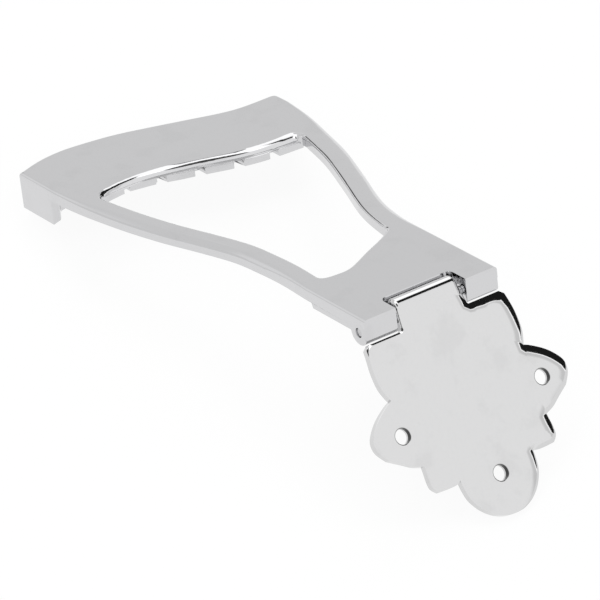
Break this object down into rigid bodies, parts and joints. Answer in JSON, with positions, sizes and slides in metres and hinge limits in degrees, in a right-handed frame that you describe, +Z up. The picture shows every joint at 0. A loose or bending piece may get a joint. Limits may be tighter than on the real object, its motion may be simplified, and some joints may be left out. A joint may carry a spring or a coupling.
{
  "type": "guitar tailpiece",
  "caption": "Chrome trapeze tailpiece for an archtop guitar: open cast frame with a slanted string bar, hinged on a cross pin to a scalloped screw-on end plate.",
  "frame": {"origin": "on the table, under the middle of the box round the part as it stands in the picture", "axes": "+X from the string bar towards the hinge plate, +Y towards the bass side of the slanted head that lies far off in the picture, +Z up"},
  "size_m": [0.1916, 0.0826, 0.0487],
  "materials": {
    "cast_chrome": "bright chrome plating on a casting, mirror polished with faint buffing marks",
    "plate_chrome": "bright chrome plating on stamped plate, mirror polished",
    "pin_steel": "plated steel wire, end faces cut plain"
  },
  "bodies": {
    "frame": {"tailpiece_frame": "cast_chrome", "hinge_pin": "pin_steel"},
    "end_plate": {"hinge_plate": "plate_chrome"}
  },
  "joints": [
    {"name": "end_plate_fold", "type": "hinge", "parent": "frame", "child": "end_plate", "pos_m": [0.05103, -0.00309, 0.0422], "axis": [0.0172, 0.9975, -0.0683], "range_deg": [0, 110]}
  ]
}
